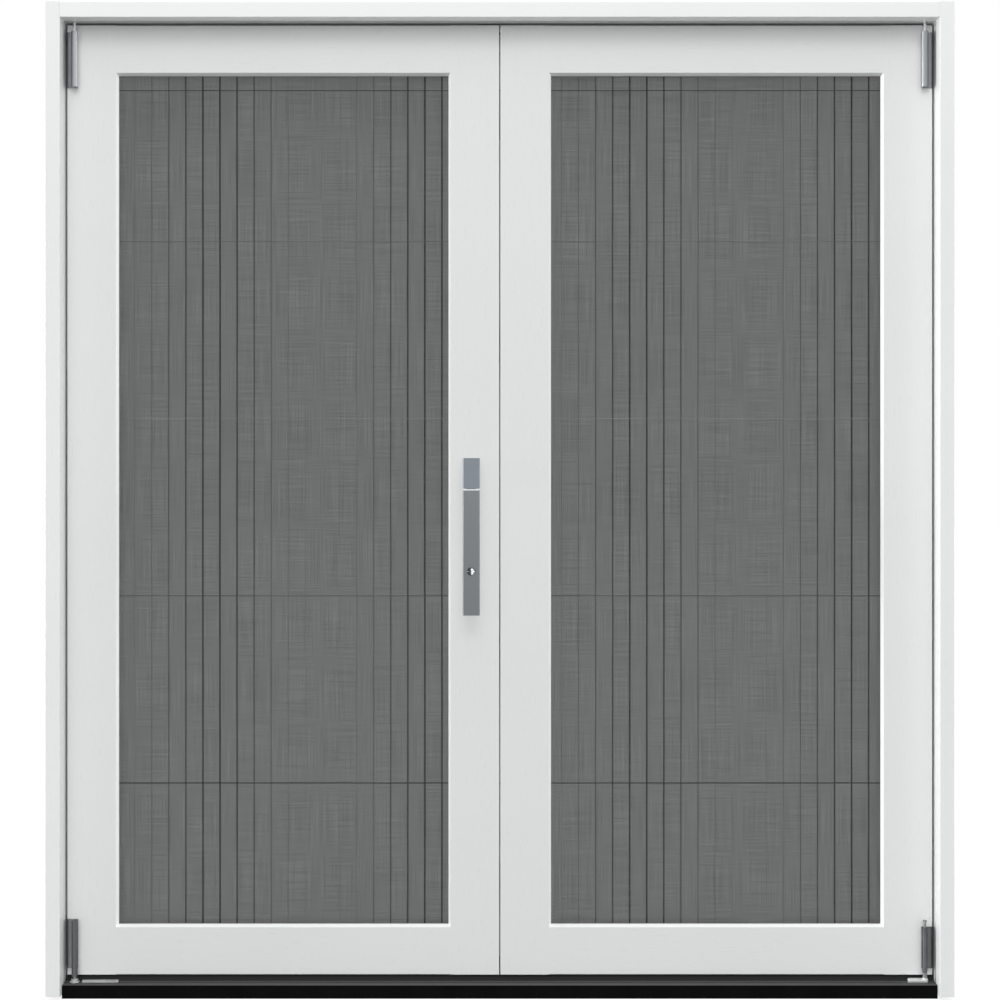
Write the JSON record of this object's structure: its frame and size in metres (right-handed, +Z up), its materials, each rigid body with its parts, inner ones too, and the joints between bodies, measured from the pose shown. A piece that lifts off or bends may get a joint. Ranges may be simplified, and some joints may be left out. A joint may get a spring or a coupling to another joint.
{
  "type": "folding patio door",
  "caption": "Folding patio door in its frame: white glazed leaves fold outwards on corner pivots and a head track, with a lever handle and a pleated insect screen behind.",
  "frame": {"origin": "middle of the frame's width and depth, at the underside of the sill", "axes": "+X to the right seen from outside, +Y into the room, +Z up"},
  "size_m": [1.85, 0.167, 2.032],
  "materials": {
    "white_paint": "smooth white paint on timber",
    "black_sill": "black anodised",
    "black_rubber": "matte",
    "white_alloy": "white powder coat",
    "bright_steel": "bright stainless",
    "satin_steel": "satin",
    "satin_nickel": "satin",
    "bright_chrome": "polished",
    "clear_glass": "clear float glass",
    "grey_mesh": "fine woven mesh",
    "black_cord": "braided",
    "wheel_nylon": "plain"
  },
  "bodies": {
    "frame": {"left_jamb": "white_paint", "right_jamb": "white_paint", "head": "white_paint", "sill": "black_sill", "left_stop": "white_paint", "right_stop": "white_paint", "head_stop": "white_paint", "weather_dam": "black_sill", "frame_seals": "black_rubber", "head_track": "white_alloy", "top_pivot": "bright_steel", "bottom_pivot_plate": "bright_steel", "bottom_pivot_pin": "bright_steel", "bolt_keepers": "bright_steel", "screen_head_rail": "white_alloy", "screen_sill_rail": "black_sill", "screen_fixed_channel": "white_alloy", "screen_catch_channel": "white_alloy", "insect_screen": "grey_mesh", "screen_cords": "black_cord"},
    "right_leaf": {"right_hinge_stile": "white_paint", "right_meeting_stile": "white_paint", "right_top_rail": "white_paint", "right_bottom_rail": "white_paint", "right_outer_pane": "clear_glass", "right_inner_pane": "clear_glass", "right_spacer": "black_rubber", "right_beads": "white_paint", "right_top_hinge": "satin_steel", "right_bottom_hinge": "satin_steel", "right_fold_hinges": "satin_steel", "right_screws": "bright_steel"},
    "left_leaf": {"left_hinge_stile": "white_paint", "left_meeting_stile": "white_paint", "left_top_rail": "white_paint", "left_bottom_rail": "white_paint", "left_outer_pane": "clear_glass", "left_inner_pane": "clear_glass", "left_spacer": "black_rubber", "left_beads": "white_paint", "left_top_hinge": "satin_steel", "left_bottom_hinge": "satin_steel", "left_fold_hinges": "satin_steel", "left_screws": "bright_steel", "fold_pins": "bright_steel", "lock_case": "bright_steel", "handle_backplate": "satin_nickel", "inside_rose": "satin_nickel"},
    "handle": {"outside_hub": "satin_nickel", "outside_lever": "satin_nickel", "spindle": "bright_steel", "inside_lever": "satin_nickel"},
    "button": {"lock_button": "bright_chrome"},
    "upper_bolt": {"top_bolt": "bright_steel"},
    "lower_bolt": {"bottom_bolt": "bright_steel"},
    "carriage": {"top_carriage": "bright_steel"},
    "lead_wheel_set": {"lead_wheels": "wheel_nylon"},
    "trail_wheel_set": {"trail_wheels": "wheel_nylon"},
    "guide": {"bottom_guide": "bright_steel"},
    "screen_bar": {"screen_pull_bar": "white_alloy"}
  },
  "joints": [
    {"name": "right_leaf_fold", "type": "hinge", "parent": "frame", "child": "right_leaf", "pos_m": [0.8727, -0.047, 0], "axis": [0, 0, 1], "range_deg": [0, 85]},
    {"name": "left_leaf_fold", "type": "hinge", "parent": "right_leaf", "child": "left_leaf", "pos_m": [0, 0.0165, 0], "axis": [0, 0, 1], "range_deg": [-170, 0]},
    {"name": "carriage_swivel", "type": "hinge", "parent": "left_leaf", "child": "carriage", "pos_m": [-0.8727, -0.047, 2], "axis": [0, 0, 1], "range_deg": [0, 85]},
    {"name": "guide_swivel", "type": "hinge", "parent": "left_leaf", "child": "guide", "pos_m": [-0.8727, -0.047, 0.03], "axis": [0, 0, 1], "range_deg": [0, 85]},
    {"name": "lead_wheel_spin", "type": "hinge", "parent": "carriage", "child": "lead_wheel_set", "pos_m": [-0.8631, -0.047, 2.0102], "axis": [0, 1, 0], "continuous": true},
    {"name": "trail_wheel_spin", "type": "hinge", "parent": "carriage", "child": "trail_wheel_set", "pos_m": [-0.8823, -0.047, 2.0102], "axis": [0, 1, 0], "continuous": true},
    {"name": "handle_turn", "type": "hinge", "parent": "left_leaf", "child": "handle", "pos_m": [-0.0582, -0.01525, 1.07319], "axis": [0, 1, 0], "range_deg": [0, 90]},
    {"name": "top_bolt_throw", "type": "slide", "parent": "left_leaf", "child": "upper_bolt", "axis": [0, 0, 1], "range_m": [0, 0.018]},
    {"name": "bottom_bolt_throw", "type": "slide", "parent": "left_leaf", "child": "lower_bolt", "axis": [0, 0, -1], "range_m": [0, 0.018]},
    {"name": "button_press", "type": "slide", "parent": "handle", "child": "button", "axis": [0, 1, 0], "range_m": [0, 0.0025]},
    {"name": "screen_draw", "type": "slide", "parent": "frame", "child": "screen_bar", "axis": [-1, 0, 0], "range_m": [0, 1.6], "deforming": ["insect_screen", "screen_cords"]}
  ],
  "couplings": [
    {"joint": "left_leaf_fold", "follows": "right_leaf_fold", "ratio": -2},
    {"joint": "carriage_swivel", "follows": "right_leaf_fold", "ratio": 1},
    {"joint": "guide_swivel", "follows": "right_leaf_fold", "ratio": 1},
    {"joint": "top_bolt_throw", "follows": "handle_turn", "m_per_rad": 0.011459},
    {"joint": "bottom_bolt_throw", "follows": "handle_turn", "m_per_rad": 0.011459}
  ]
}
